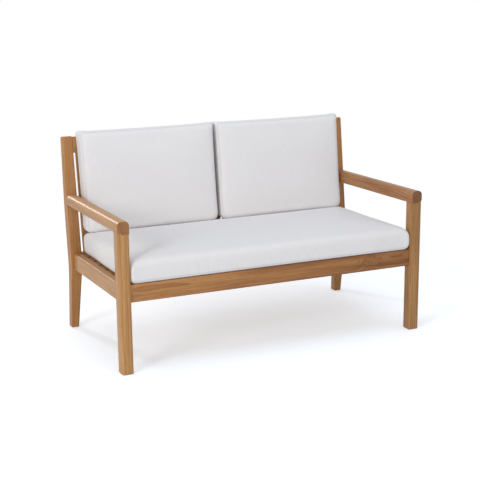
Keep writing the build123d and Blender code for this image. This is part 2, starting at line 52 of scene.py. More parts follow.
lens_px, middle_px, photo_px, film_mm = 1153.77, (253.03, 266.27), 480, 36
ahead = Vector(
    (
        math.sin(view_turn) * math.cos(view_tilt),
        math.cos(view_turn) * math.cos(view_tilt),
        -math.sin(view_tilt),
    )
)
level_right = Vector((math.cos(view_turn), -math.sin(view_turn), 0))
level_up = level_right.cross(ahead)
right = level_right * math.cos(view_roll) + level_up * math.sin(view_roll)
up = level_up * math.cos(view_roll) - level_right * math.sin(view_roll)
lens = bpy.data.cameras.new("photo_view")
lens.sensor_width = film_mm
lens.lens = film_mm * lens_px / photo_px
lens.shift_x = (photo_px / 2 - middle_px[0]) / photo_px
lens.shift_y = (middle_px[1] - photo_px / 2) / photo_px
camera = bpy.data.objects.new("photo_view", lens)
bpy.context.scene.collection.objects.link(camera)
camera_axes = Matrix((right, up, -ahead)).transposed().to_4x4()
camera.matrix_world = Matrix.Translation(viewpoint) @ camera_axes
bpy.context.scene.camera = camera
bpy.context.scene.view_settings.view_transform = "Standard"

# The photo studio
# A white floor that runs on into a white backdrop, one large softbox high at the front left, a
# low one in front, a bluish one overhead, a strip behind that glints along the arm, and pale
# walls that send light back from all round.


def linear(hex_colour):
    """An sRGB hex colour as the linear colour that the shaders take."""
    channels = [int(hex_colour[i : i + 2], 16) / 255 for i in (1, 3, 5)]
    return [c / 12.92 if c <= 0.04045 else ((c + 0.055) / 1.055) ** 2.4 for c in channels] + [1.0]


def add_node(tree, kind, settings=None, values=None, links=None):
    """Adds a node, with its settings, its sockets' values and what comes in at its sockets."""
    node = tree.nodes.new("ShaderNode" + kind)
    for name, setting in (settings or {}).items():
        setattr(node, name, setting)
    for socket, value in (values or {}).items():
        node.inputs[socket].default_value = value
    for socket, source in (links or {}).items():
        tree.links.new(source, node.inputs[socket])
    return node


def seen_directly(tree):
    """1 where a camera, mirror or glass ray meets it, so that white shows in all three."""
    path = add_node(tree, "LightPath")
    seen = path.outputs["Is Camera Ray"]
    for way in ("Is Glossy Ray", "Is Transmission Ray"):
        also = add_node(
            tree, "Math", {"operation": "MAXIMUM"}, links={0: seen, 1: path.outputs[way]}
        )
        seen = also.outputs[0]
    return seen


floor_radius, white_from, white_at = 14, 0.9, 2.3
paper_lift, walls_strength = 0.40, 0.54
floor_form = bmesh.new()
bmesh.ops.create_circle(floor_form, cap_ends=True, radius=floor_radius, segments=96)
floor_mesh = bpy.data.meshes.new("studio_floor")
floor_form.to_mesh(floor_mesh)
floor_form.free()
floor = bpy.data.objects.new("studio_floor", floor_mesh)
bpy.context.scene.collection.objects.link(floor)

paper = bpy.data.materials.new("white_backdrop_paper")
paper.use_nodes = True
paper_tree = paper.node_tree
paper_tree.nodes.clear()
place = add_node(paper_tree, "TexCoord")
from_seat = add_node(
    paper_tree, "VectorMath", {"operation": "LENGTH"}, links={0: place.outputs["Object"]}
)
far_off = add_node(
    paper_tree,
    "MapRange",
    {"interpolation_type": "SMOOTHSTEP"},
    {"From Min": white_from, "From Max": white_at, "To Min": 0, "To Max": 1},
    {"Value": from_seat.outputs["Value"]},
)
seen_paper = seen_directly(paper_tree)
bare_white = add_node(
    paper_tree, "Math", {"operation": "MULTIPLY"}, links={0: far_off.outputs[0], 1: seen_paper}
)
lift = add_node(paper_tree, "Math", {"operation": "MULTIPLY"}, {1: paper_lift}, {0: seen_paper})
matt = add_node(paper_tree, "BsdfDiffuse", values={"Color": linear("#E8EDF4")})
glow = add_node(
    paper_tree,
    "Emission",
    values={"Color": linear("#FFFFFF")},
    links={"Strength": lift.outputs[0]},
)
lit_paper = add_node(paper_tree, "AddShader", links={0: matt.outputs[0], 1: glow.outputs[0]})
white = add_node(paper_tree, "Emission", values={"Color": linear("#FFFFFF"), "Strength": 1})
paper_mix = add_node(
    paper_tree,
    "MixShader",
    links={0: bare_white.outputs[0], 1: lit_paper.outputs[0], 2: white.outputs[0]},
)
add_node(paper_tree, "OutputMaterial", links={"Surface": paper_mix.outputs[0]})
floor_mesh.materials.append(paper)

studio = bpy.data.worlds.new("pale_studio_walls")
bpy.context.scene.world = studio
studio.use_nodes = True
studio_tree = studio.node_tree
studio_tree.nodes.clear()
walls = add_node(
    studio_tree, "Background", values={"Color": linear("#FFFFFF"), "Strength": walls_strength}
)
backdrop = add_node(studio_tree, "Background", values={"Color": linear("#FFFFFF"), "Strength": 1})
studio_mix = add_node(
    studio_tree,
    "MixShader",
    links={0: seen_directly(studio_tree), 1: walls.outputs[0], 2: backdrop.outputs[0]},
)
add_node(studio_tree, "OutputWorld", links={"Surface": studio_mix.outputs[0]})

for softbox, spot, aim, watts, wide, high, tint in (
    ("softbox_left", (-6.1, -3.9, 3.0), (0, 0, 0.4), 182, 2.4, 2.4, "#FFFFFF"),
    ("softbox_front", (-0.6, -5.2, 1.1), (0, 0, 0.4), 35, 3.0, 1.6, "#FFFFFF"),
    ("softbox_over", (0.2, -0.6, 3.6), (0, 0, 0.4), 37, 2.6, 2.6, "#D2E6FF"),
    ("strip_light_behind", (-1.45, 3.4, 1.7), (-0.3, 0, 0.5), 32, 0.3, 1.4, "#FFFFFF"),
):
    lamp = bpy.data.lights.new(softbox, "AREA")
    lamp.shape = "RECTANGLE"
    lamp.size, lamp.size_y = wide, high
    lamp.energy = watts
    lamp.color = linear(tint)[:3]
    lamp_object = bpy.data.objects.new(softbox, lamp)
    bpy.context.scene.collection.objects.link(lamp_object)
    towards = Vector(aim) - Vector(spot)
    lamp_object.matrix_world = (
        Matrix.Translation(spot) @ towards.to_track_quat("-Z", "Y").to_matrix().to_4x4()
    )
    lamp_object.visible_camera = False

# Front legs
# Square teak posts, 47 mm each way with rounded corners, from the floor to the arm. Sawn from
# plantation teak, planed, sanded and oiled: honey brown with darker bands along the grain.
wave_mm = 314  # a wave texture repeats every wave_mm / Scale millimetres


def stretched(tree, source, scale):
    """The coordinates scaled along each axis, so that what lies on them is drawn out."""
    settings, values = {"vector_type": "POINT"}, {"Scale": scale}
    return add_node(tree, "Mapping", settings, values, {"Vector": source}).outputs[0]


def noise(tree, source, scale, detail, roughness=0.5):
    """Soft patches on these coordinates, about scale of them to the metre."""
    values = {"Scale": scale, "Detail": detail, "Roughness": roughness}
    return add_node(tree, "TexNoise", values=values, links={"Vector": source})


def oiled_teak(
    name,
    along,
    middle,
    heart,
    ring_mm=6.0,
    pale="#C99A64",
    warm="#AE7E4A",
    dark="#80532C",
    shade_drift=0.0,
    knot=None,
    sawn="#9D8B6E",
):
    """Planed and oiled teak, satin, with its grain along one direction of the board.

    It is light brown between growth rings and darker in them, with fine dark pores drawn out
    along the grain, and darker still on sawn ends, which drink more oil. Heart is where the
    trunk's middle runs, beside the board's own. Shade drift is painted shade: how much the board
    darkens along its grain, to the metre. Knot is a place that the grain flows round, and sawn is
    the colour that a sawn end's own is multiplied by."""
    teak = bpy.data.materials.new(name)
    teak.use_nodes = True
    tree = teak.node_tree
    tree.nodes.clear()
    grain = Vector(along).normalized()
    turn = grain.to_track_quat("X", "Z").to_euler()
    coords = add_node(tree, "TexCoord")
    board = add_node(
        tree,
        "Mapping",
        {"vector_type": "TEXTURE"},
        {"Location": Vector(middle) + turn.to_matrix() @ Vector((0, *heart)), "Rotation": turn},
        {"Vector": coords.outputs["Object"]},
    )
    # the trunk isn't straight: its heart wanders by a centimetre or two along the board
    wander_reach = 0.022
    wander = noise(tree, stretched(tree, board.outputs[0], (0.45, 0.9, 0.9)), 4.5, 2, 0.45)
    wandered = add_node(
        tree,
        "VectorMath",
        {"operation": "MULTIPLY_ADD"},
        {1: (0, wander_reach, wander_reach)},
        {0: wander.outputs["Color"], 2: board.outputs[0]},
    )
    if knot:
        knot_reach = add_node(
            tree,
            "Mapping",
            {"vector_type": "TEXTURE"},
            {"Location": knot, "Scale": (0.085, 0.05, 0.045)},
            {"Vector": coords.outputs["Object"]},
        )
        from_knot = add_node(
            tree, "VectorMath", {"operation": "LENGTH"}, links={0: knot_reach.outputs[0]}
        )
        push = add_node(
            tree,
            "MapRange",
            {"interpolation_type": "SMOOTHERSTEP"},
            {"From Min": 0.1, "From Max": 1.0, "To Min": 0.065, "To Max": 0.0},
            {"Value": from_knot.outputs["Value"]},
        )
        swirl = noise(tree, coords.outputs["Object"], 17, 1)
        swirl_off = add_node(
            tree,
            "VectorMath",
            {"operation": "SUBTRACT"},
            {1: (0.5, 0.5, 0.5)},
            {0: swirl.outputs["Color"]},
        )
        pushed = add_node(
            tree,
            "VectorMath",
            {"operation": "SCALE"},
            links={0: swirl_off.outputs[0], "Scale": push.outputs[0]},
        )
        wandered = add_node(
            tree,
            "VectorMath",
            {"operation": "ADD"},
            links={0: wandered.outputs[0], 1: pushed.outputs[0]},
        )
    # growth rings, each a slow rise to a sharp dark line
    ring_board = stretched(tree, wandered.outputs[0], (0.05, 1, 1))
    rings = add_node(
        tree,
        "TexWave",
        {"wave_type": "RINGS", "rings_direction": "X", "wave_profile": "SAW"},
        {
            "Scale": wave_mm / ring_mm,
            "Distortion": 2.4,
            "Detail": 3,
            "Detail Scale": 0.5,
            "Detail Roughness": 0.6,
        },
        {"Vector": ring_board},
    )
    # darker and paler bands of heartwood, 25 mm wide and half a metre long
    bands = noise(tree, ring_board, 40, 1)
    # mineral streaks, 5 mm wide and 150 mm long
    streaks = noise(tree, stretched(tree, wandered.outputs[0], (0.033, 1, 1)), 190, 3, 0.6)
    # bundles of pores, real ones 0.3 mm wide, drawn 1.5 mm wide so that they show
    pores = noise(tree, stretched(tree, wandered.outputs[0], (0.045, 1, 1)), 650, 2, 0.65)
    along_board = add_node(tree, "SeparateXYZ", links={"Vector": board.outputs[0]})
    # painted shade: the figure starts from the darkening along the board, the shade drift
    figure = add_node(
        tree, "Math", {"operation": "MULTIPLY"}, {1: shade_drift}, {0: along_board.outputs["X"]}
    )
    for share, layer in ((0.17, rings), (0.34, bands), (0.36, streaks), (0.31, pores)):
        figure = add_node(
            tree,
            "Math",
            {"operation": "MULTIPLY_ADD"},
            {1: share},
            {0: layer.outputs["Fac"], 2: figure.outputs[0]},
        )
    colour = add_node(tree, "ValToRGB", links={"Fac": figure.outputs[0]})
    ramp = colour.color_ramp
    pale_at, warm_at, dark_at = 0.37, 0.58, 0.86
    ramp.elements[0].position, ramp.elements[0].color = pale_at, linear(pale)
    ramp.elements[1].position, ramp.elements[1].color = dark_at, linear(dark)
    ramp.elements.new(warm_at).color = linear(warm)
    facing = add_node(
        tree, "VectorMath", {"operation": "DOT_PRODUCT"}, {1: grain}, {0: coords.outputs["Normal"]}
    )
    endwise = add_node(tree, "Math", {"operation": "ABSOLUTE"}, links={0: facing.outputs["Value"]})
    sawn_end = add_node(
        tree,
        "MapRange",
        {"interpolation_type": "SMOOTHSTEP"},
        {"From Min": 0.72, "From Max": 0.97, "To Min": 0, "To Max": 0.8},
        {"Value": endwise.outputs[0]},
    )
    ring_ink = add_node(
        tree,
        "MapRange",
        values={"To Min": 0.45, "To Max": 1.0},
        links={"Value": rings.outputs["Fac"]},
    )
    end_ink = add_node(
        tree,
        "Math",
        {"operation": "MULTIPLY"},
        links={0: sawn_end.outputs[0], 1: ring_ink.outputs[0]},
    )
    surface_colour = add_node(
        tree,
        "Mix",
        {"data_type": "RGBA", "blend_type": "MULTIPLY"},
        {7: linear(sawn)},
        {0: end_ink.outputs[0], 6: colour.outputs["Color"]},
    )
    dull = add_node(
        tree,
        "MapRange",
        values={"From Min": 0.3, "From Max": 0.8, "To Min": 0.42, "To Max": 0.6},
        links={"Value": figure.outputs[0]},
    )
    relief = add_node(
        tree,
        "Bump",
        {"invert": True},
        {"Strength": 0.15, "Distance": 0.0002},
        {"Height": pores.outputs["Fac"]},
    )
    oiled = add_node(
        tree,
        "BsdfPrincipled",
        values={"IOR": 1.45, "Specular IOR Level": 0.3, "Coat Weight": 0.2, "Coat Roughness": 0.2},
        links={
            "Base Color": surface_colour.outputs[2],
            "Roughness": dull.outputs[0],
            "Normal": relief.outputs[0],
        },
    )
    add_node(tree, "OutputMaterial", links={"Surface": oiled.outputs[0]})
    return teak


def finish_with(material, *nodes):
    """Puts one finish on these pieces of the frame."""
    for node in nodes:
        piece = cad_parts[node]
        piece.data.materials.clear()
        piece.data.materials.append(material)


for side, x, heart, tones in (
    ("left", -0.6365, (0.050, 0.034), ("#C89A64", "#B1804B", "#8B5D33")),
    # the right leg's darker tones are painted shade, on the side away from the light
    ("right", 0.6365, (-0.041, 0.058), ("#B98B57", "#9E7242", "#734B27")),
):
    leg_teak = f"oiled_teak_front_leg_{side}"
    finish_with(
        oiled_teak(leg_teak, (0, 0, 1), (x, -0.3315, 0.27), heart, 7.0, *tones),
        f"front_leg_{side}",
    )

# Back posts
# Teak, sawn to a bend from a wide board: a raked foot below the seat and a leaning post above
# it. The grain runs straight up, so it leaves the bent edges at a slant.
for side, x, heart in (("left", -0.6435, (0.062, -0.045)), ("right", 0.6435, (0.052, 0.064))):
    finish_with(
        oiled_teak(
            f"oiled_teak_back_post_{side}",
            (0, 0.06, 1),
            (x, 0.30, 0.41),
            heart,
            pale="#C08E55",
            warm="#A8743F",
        ),
        f"back_post_{side}",
    )

# Arms
# Teak bars with a strongly rounded top, tenoned into the back posts and standing on the front
# legs. Their sawn front ends show the rings as a dark disc.
for side, x, heart, tones, sawn in (
    ("left", -0.6365, (0.012, 0.030), ("#C39563", "#AE7E4D", "#7E522D"), "#B5A284"),
    # the right arm is a redder board; its darker tones and darker sawn end are partly painted
    # shade, on the side away from the light
    ("right", 0.6365, (-0.020, 0.034), ("#B98857", "#9D6B42", "#6E4425"), "#7C6850"),
):
    finish_with(
        oiled_teak(
            f"oiled_teak_arm_{side}", (0, 1, 0), (x, -0.02, 0.57), heart, 5.0, *tones, sawn=sawn
        ),
        f"arm_{side}",
    )

# Seat rails
# Four teak rails, 70 mm high, tenoned into the legs and posts. The front one is a redder board
# with wavy grain round a knot near its right end. Its darker tones, darkening further towards
# its right end, are painted shade under the cushion's front and away from the light.
finish_with(
    oiled_teak(
        "oiled_teak_front_rail",
        (1, 0, 0),
        (0, -0.335, 0.31),
        (0.085, 0.030),
        8.0,
        "#B5824B",
        "#9A6638",
        "#6D411E",
        # painted shade: the rail is coloured darker towards its right end
        shade_drift=0.20,
        knot=(0.425, -0.343, 0.316),
    ),
    "front_rail",
)
finish_with(
    oiled_teak("oiled_teak_rear_rail", (1, 0, 0), (0, 0.28, 0.30), (-0.060, 0.045), 7.0),
    "rear_rail",
)
for side, x, heart in (("left", -0.6435, (0.040, 0.070)), ("right", 0.6435, (-0.055, 0.050))):
    finish_with(
        oiled_teak(f"oiled_teak_side_rail_{side}", (0, 1, -0.021), (x, 0, 0.31), heart, 7.0),
        f"side_rail_{side}",
    )

# Top rail
# A thinner teak rail, planed and oiled, that caps the back slats between the two posts and leans
# with them. Tenons at its ends hold it in the posts.
finish_with(
    oiled_teak("oiled_teak_top_rail", (1, 0, 0), (0, 0.33, 0.79), (0.045, 0.040)),
    "top_rail",
)

# Centre bearer, cleats and corner blocks
# Plain teak battens and blocks under the seat, screwed and glued in, that carry the slats and
# brace the frame's corners. They are sawn and sanded. The cleats are coloured dark as painted
# shade, where they show through the slat gaps under the cushion's edge.
finish_with(
    oiled_teak("oiled_teak_centre_bearer", (0, 1, -0.021), (0, 0, 0.30), (0.050, 0.030), 7.0),
    "centre_bearer",
)
# painted shade: dark cleat tones stand for the shade in the slat gaps
finish_with(
    oiled_teak(
        "oiled_teak_cleats_painted_shade",
        (0, 1, -0.021),
        (0, 0, 0.32),
        (0.035, 0.045),
        pale="#6E4D2E",
        warm="#5A3E25",
        dark="#402A17",
    ),
    "slat_cleat_left",
    "slat_cleat_right",
)
finish_with(
    oiled_teak("oiled_teak_corner_blocks", (0, 0, 1), (0.01, 0.01, 0.3), (0.045, 0.035)),
    "corner_block_front_left",
    "corner_block_front_right",
    "corner_block_rear_left",
    "corner_block_rear_right",
)

# Seat slats
# Seven thin teak slats across the seat, planed and oiled, screwed down on the cleats at both ends
# and on the bearer in the middle. Their sawn ends are dark end grain, darkened further as
# painted shade under the cushion's edge.
for number in range(1, 8):
    finish_with(
        oiled_teak(
            f"oiled_teak_seat_slat_{number}",
            (1, 0, 0),
            (0.05 * number, -0.36 + 0.08 * number, 0.34),
            (0.03 + 0.011 * (number % 3), 0.05 - 0.013 * (number % 4)),
            pale="#AB7F50",
            warm="#93673C",
            dark="#6A4424",
            # painted shade: the sawn ends are darkened for the shade under the cushion's edge
            sawn="#6F5B45",
        ),
        f"seat_slat_{number}",
    )

# Back slats
# Seventeen upright teak slats, planed and oiled, let into the rear rail and the top rail with
# tenons. They lean with the back.
lean = 0.12151
for number in range(1, 18):
    finish_with(
        oiled_teak(
            f"oiled_teak_back_slat_{number:02d}",
            (0, math.sin(lean), math.cos(lean)),
            (-0.63 + 0.07 * number, 0.30, 0.5 + 0.03 * (number % 5)),
            (0.025 + 0.012 * (number % 4), 0.05 - 0.016 * (number % 3)),
        ),
        f"back_slat_{number:02d}",
    )

# Screws
# Countersunk stainless steel wood screws, brushed by their making and a little dulled outdoors.
# They hold the slats, the cleats and the corner blocks, with their heads just under flush.
steel = bpy.data.materials.new("dulled_stainless_steel")
steel.use_nodes = True
steel_tree = steel.node_tree
steel_tree.nodes.clear()
steel_coords = add_node(steel_tree, "TexCoord")
steel_film = noise(steel_tree, steel_coords.outputs["Object"], 900, 3)
steel_dull = add_node(
    steel_tree,
    "MapRange",
    values={"To Min": 0.32, "To Max": 0.55},
    links={"Value": steel_film.outputs["Fac"]},
)
steel_surface = add_node(
    steel_tree,
    "BsdfPrincipled",
    values={"Base Color": linear("#B9B8B4"), "Metallic": 1.0},
    links={"Roughness": steel_dull.outputs[0]},
)
add_node(steel_tree, "OutputMaterial", links={"Surface": steel_surface.outputs[0]})
finish_with(steel, "slat_screws", "cleat_screws", "block_screws")

# Seat cushion
# One wide boxed cushion: a foam slab in a sewn cover of off-white woven polyester. The foam
# pushes the top up into a low crown, and the cover pulls in at the seams round the boxing.
seat_tilt, cloth_slack = 0.02094, 0.0012
seat_up = Vector((0, math.sin(seat_tilt), math.cos(seat_tilt)))


def even_skin(name, foam_form, voxel):
    """The foam's surface as cloth of even squares."""
    mesh = bpy.data.meshes.new(name)
    foam_form.to_mesh(mesh)
    skin = bpy.data.objects.new(name, mesh)
    bpy.context.scene.collection.objects.link(skin)
    remesh = skin.modifiers.new("even_squares", "REMESH")
    remesh.mode = "VOXEL"
    remesh.voxel_size = voxel
    keep_modifiers(skin)
    return skin


def blown_up(name, foam, slack):
    """A cushion's cover. A coarse cloth, a little too small, is blown up round the foam by the
    solver, and its movement, up to slack, is laid over a finer skin of the cover's outside."""
    coarse_mm, fine_mm, start_inset, skin_gap = 13, 5, 0.004, 0.0019
    cloth_steps, neighbours, near_reach = 20, 8, 0.004
    foam_form = bmesh.new()
    foam_form.from_mesh(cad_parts[foam].data)
    bmesh.ops.remove_doubles(foam_form, verts=foam_form.verts, dist=0.00002)
    bmesh.ops.recalc_face_normals(foam_form, faces=foam_form.faces)
    foam_tree = BVHTree.FromBMesh(foam_form)
    moves = None
    cloth_skin = even_skin(name + "_cloth", foam_form, coarse_mm / 1000)
    for vertex in cloth_skin.data.vertices:
        vertex.co -= vertex.normal * start_inset
    home = [vertex.co + vertex.normal * start_inset for vertex in cloth_skin.data.vertices]
    filling = cloth_skin.modifiers.new("filling", "CLOTH")
    cloth = filling.settings
    cloth.quality = 3
    cloth.mass = 0.3
    cloth.tension_stiffness = 20
    cloth.compression_stiffness = 12
    cloth.shear_stiffness = 6
    cloth.bending_stiffness = 0.6
    cloth.use_pressure = True
    cloth.uniform_pressure_force = 4
    cloth.effector_weights.gravity = 0
    filling.collision_settings.use_collision = False
    for step in range(cloth_steps):
        bpy.context.scene.frame_set(step + 1)
    keep_modifiers(cloth_skin)
    bpy.context.scene.frame_set(1)
    moves = KDTree(len(home))
    for i, point in enumerate(home):
        moves.insert(point, i)
    moves.balance()
    shifts = [v.co - point for v, point in zip(cloth_skin.data.vertices, home)]
    bpy.data.objects.remove(cloth_skin)
    skin = even_skin(name, foam_form, fine_mm / 1000)
    foam_form.free()
    for vertex in skin.data.vertices:
        on_foam, outward, _, _ = foam_tree.find_nearest(vertex.co)
        shift = Vector((0, 0, 0))
        if moves:
            near = moves.find_n(vertex.co, neighbours)
            weights = [1 / (distance + near_reach) ** 2 for _, _, distance in near]
            for (_, i, _), weight in zip(near, weights):
                shift += shifts[i] * (weight / sum(weights))
            if shift.length > slack:
                shift *= slack / shift.length
        vertex.co = on_foam + outward * skin_gap + shift
    skin.data.polygons.foreach_set("use_smooth", [True] * len(skin.data.polygons))
    return skin


def keep_modifiers(piece):
    """Makes the piece's shape under its modifiers its own mesh."""
    bpy.context.view_layer.update()
    shaped = piece.evaluated_get(bpy.context.evaluated_depsgraph_get())
    mesh = bpy.data.meshes.new_from_object(shaped)
    piece.modifiers.clear()
    piece.data = mesh


def rise(value, low, high):
    """A smooth step from 0 at low to 1 at high."""
    share = min(max((value - low) / (high - low), 0), 1)
    return share * share * (3 - 2 * share)


def hump(value, middle, half_width):
    """A smooth bell, 1 at its middle."""
    return math.exp(-(((value - middle) / half_width) ** 2))


def evened(piece, weight, rounds):
    """Draws the skin smooth where the cloth is taut over an edge of the foam."""
    group = piece.vertex_groups.new(name="taut")
    for vertex in piece.data.vertices:
        group.add([vertex.index], weight(vertex.co), "REPLACE")
    pull = piece.modifiers.new("taut", "SMOOTH")
    pull.factor = 0.5
    pull.iterations = rounds
    pull.vertex_group = "taut"
    keep_modifiers(piece)
    piece.vertex_groups.clear()


def lay_fabric(piece, up_axis, seams):
    """Lays the weave on each panel in metres, and notes how far each point is from a seam."""
    boxing_below = 0.6  # a face that turns less than this towards up_axis is on the boxing
    mesh = piece.data
    along = up_axis.cross(Vector((1, 0, 0)))
    weave = mesh.uv_layers.new(name="weave")
    for face in mesh.polygons:
        u_way, v_way = Vector((1, 0, 0)), along
        n = face.normal
        if abs(n.dot(up_axis)) < boxing_below:
            v_way = up_axis
            if abs(n.x) > abs(n.dot(along)):
                u_way = along
        for loop in face.loop_indices:
            co = mesh.vertices[mesh.loops[loop].vertex_index].co
            weave.data[loop].uv = (co.dot(u_way), co.dot(v_way))
    seam = mesh.attributes.new("seam_distance", "FLOAT", "POINT")
    for vertex in mesh.vertices:
        t = vertex.co.dot(up_axis)
        seam.data[vertex.index].value = min((t - s for s in seams), key=abs)


seat_cushion = blown_up("seat_cushion", "seat_cushion_core", cloth_slack)
seat_low = min(v.co.dot(seat_up) for v in seat_cushion.data.vertices)


# in the pairs below a smooth step starts and ends, or a bell has its middle and its half width:
# a height is over the cushion's foot, a place is on Y, along and behind are from the ridge's
# start, and facing is how far the skin turns to that side, from 0 to 1
edge_height, edge_place, evening_rounds = (0.050, 0.080), (-0.28, -0.21), 30


def front_edge(co):
    """1 at the seat's top front edge, and 0 low on its front and from 140 mm behind it."""
    return rise(co.dot(seat_up) - seat_low, *edge_height) * (1 - rise(co.y, *edge_place))


evened(seat_cushion, front_edge, evening_rounds)
# the filling has sunk behind the front left corner, and its edge there stands up as a soft ridge
ridge_start, ridge_way = Vector((-0.600, -0.345)), Vector((0.79, 0.61))
ridge_back = Vector((-ridge_way.y, ridge_way.x))
hollow_deep, hollow_along, hollow_behind = 0.0075, (0.155, 0.080), 0.040
hollow_wide_near, hollow_wide_far = 0.024, 0.040
ridge_high, ridge_along, ridge_behind = 0.0020, (0.120, 0.090), (-0.015, 0.022)
top_height = (0.080, 0.100)
# short tucks at the front, where the cover is pulled down over the foam
tucks_x = (-0.374, -0.333, -0.292, 0.021, 0.047, 0.168, 0.209)
tuck_deep, tuck_wide, tuck_height, tuck_facing = 0.0017, 0.0065, (0.035, 0.022), (0.7, 0.9)
# where the cover's ends and front lie, and how far it is moved at its corners and its left side
end_x, front_y, edge_wide, corner_wide = 0.6105, -0.348, 0.040, 0.022
crisp_ahead, crisp_behind, crisp_place, crisp_height = 0.15, 0.40, (-0.02, 0.08), (0.050, 0.070)
corner_out, corner_forward = 0.0020, 0.0045
corner_foot_height, corner_top_height = (0.004, 0.030), (0.070, 0.100)
side_bulge, bulge_start_place, bulge_end_place = 0.006, (-0.300, -0.255), (-0.05, 0.15)
bulge_height, bulge_facing = (0.030, 0.100), (0.3, 0.8)
low_seam = 0.354
seat_normals = [vertex.normal.copy() for vertex in seat_cushion.data.vertices]
for vertex, outward in zip(seat_cushion.data.vertices, seat_normals):
    co = vertex.co
    height = co.dot(seat_up) - seat_low
    from_ridge = co.xy - ridge_start
    along, behind = from_ridge.dot(ridge_way), from_ridge.dot(ridge_back)
    hollow_wide = hollow_wide_far if behind > hollow_behind else hollow_wide_near
    sunk = hollow_deep * hump(along, *hollow_along) * hump(behind, hollow_behind, hollow_wide)
    proud = ridge_high * hump(along, *ridge_along) * hump(behind, *ridge_behind)
    co -= seat_up * (sunk - proud) * rise(height, *top_height)
    tuck = sum(hump(co.x, x, tuck_wide) for x in tucks_x) * hump(height, *tuck_height)
    co -= outward * tuck_deep * tuck * rise(-outward.y, *tuck_facing)
    # at its ends the foam's top edge is crisp under the back cushions, and softer further forward
    from_end = end_x - abs(co.x)
    if 0 < from_end < edge_wide and height > crisp_height[0]:
        crisp = crisp_ahead + crisp_behind * rise(co.y, *crisp_place)
        crisp *= rise(height, *crisp_height)
        co.x += math.copysign(crisp * from_end * (1 - from_end / edge_wide), co.x)
    # the boxing fills the front corners
    corner_reach = math.hypot(abs(co.x) - end_x, co.y - front_y)
    corner_push = hump(corner_reach, 0, corner_wide) * rise(height, *corner_foot_height)
    corner_push *= 1 - rise(height, *corner_top_height)
    co += Vector((math.copysign(corner_out, co.x), -corner_forward, 0)) * corner_push
    # over the left side rail the cushion bulges out past the leg's inner face
    bulge = rise(co.y, *bulge_start_place) * (1 - rise(co.y, *bulge_end_place))
    bulge *= 1 - rise(height, *bulge_height)
    co -= Vector((side_bulge, 0, 0)) * bulge * rise(-outward.x, *bulge_facing)
lay_fabric(seat_cushion, seat_up, (low_seam,))

cover = bpy.data.materials.new("woven_polyester_off_white")
cover.use_nodes = True
cover_tree = cover.node_tree
cover_tree.nodes.clear()
weave_coords = add_node(cover_tree, "UVMap", {"uv_map": "weave"})
# threads 0.6 mm apart in the cloth, drawn 1.5 mm apart so that they show from close by
thread_mm = 1.5
threads = []
for way in ("X", "Y"):
    threads.append(
        add_node(
            cover_tree,
            "TexWave",
            {"wave_type": "BANDS", "bands_direction": way, "wave_profile": "SIN"},
            {"Scale": wave_mm / thread_mm, "Distortion": 0.6, "Detail": 1, "Detail Scale": 0.3},
            {"Vector": weave_coords.outputs[0]},
        )
    )
weave_height = add_node(
    cover_tree,
    "Math",
    {"operation": "MULTIPLY"},
    links={0: threads[0].outputs["Fac"], 1: threads[1].outputs["Fac"]},
)
# uneven yarn, thick and thin over 10 to 60 mm
slubs = noise(
    cover_tree, stretched(cover_tree, weave_coords.outputs[0], (1, 0.12, 1)), 260, 2, 0.6
)
slub_tone = add_node(
    cover_tree,
    "MapRange",
    values={"From Min": 0.3, "From Max": 0.7, "To Min": 0.0, "To Max": 1.0},
    links={"Value": slubs.outputs["Fac"]},
)
yarn = add_node(
    cover_tree,
    "Mix",
    {"data_type": "RGBA"},
    {6: linear("#E0DCDA"), 7: linear("#E4E0DE")},
    {0: slub_tone.outputs[0]},
)
seam_distance = add_node(cover_tree, "Attribute", {"attribute_name": "seam_distance"})
seam_off = add_node(
    cover_tree, "Math", {"operation": "ABSOLUTE"}, links={0: seam_distance.outputs["Fac"]}
)
seam_shade = add_node(
    cover_tree,
    "MapRange",
    {"interpolation_type": "SMOOTHSTEP"},
    {"From Min": 0.0005, "From Max": 0.0022, "To Min": 0.22, "To Max": 0},
    {"Value": seam_off.outputs[0]},
)
cover_colour = add_node(
    cover_tree,
    "Mix",
    {"data_type": "RGBA", "blend_type": "MULTIPLY"},
    {7: linear("#A9A6A4")},
    {0: seam_shade.outputs[0], 6: yarn.outputs[2]},
)
seam_depth = 3.0  # in heights of the weave, times the seam's shade
seam_dip = add_node(
    cover_tree,
    "Math",
    {"operation": "MULTIPLY_ADD"},
    {1: -seam_depth},
    {0: seam_shade.outputs[0], 2: weave_height.outputs[0]},
)
cover_relief = add_node(
    cover_tree,
    "Bump",
    values={"Strength": 0.25, "Distance": 0.0004},
    links={"Height": seam_dip.outputs[0]},
)
cover_surface = add_node(
    cover_tree,
    "BsdfPrincipled",
    values={
        "Roughness": 0.9,
        "Specular IOR Level": 0.3,
        "Sheen Weight": 0.1,
        "Sheen Roughness": 0.5,
    },
    links={"Base Color": cover_colour.outputs[2], "Normal": cover_relief.outputs[0]},
)
add_node(cover_tree, "OutputMaterial", links={"Surface": cover_surface.outputs[0]})
seat_cushion.data.materials.append(cover)
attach(seat_cushion, "seat_cushion")
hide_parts("seat_cushion_cover", "seat_cushion_core")

# Back cushions
# Two boxed cushions of the same cloth and foam, standing on the seat cushion and leaning on
# the back slats. Their fronts are nearly flat, with crisp corners.
back_out = Vector((0, math.cos(lean), -math.sin(lean)))
back_up = Vector((0, math.sin(lean), math.cos(lean)))
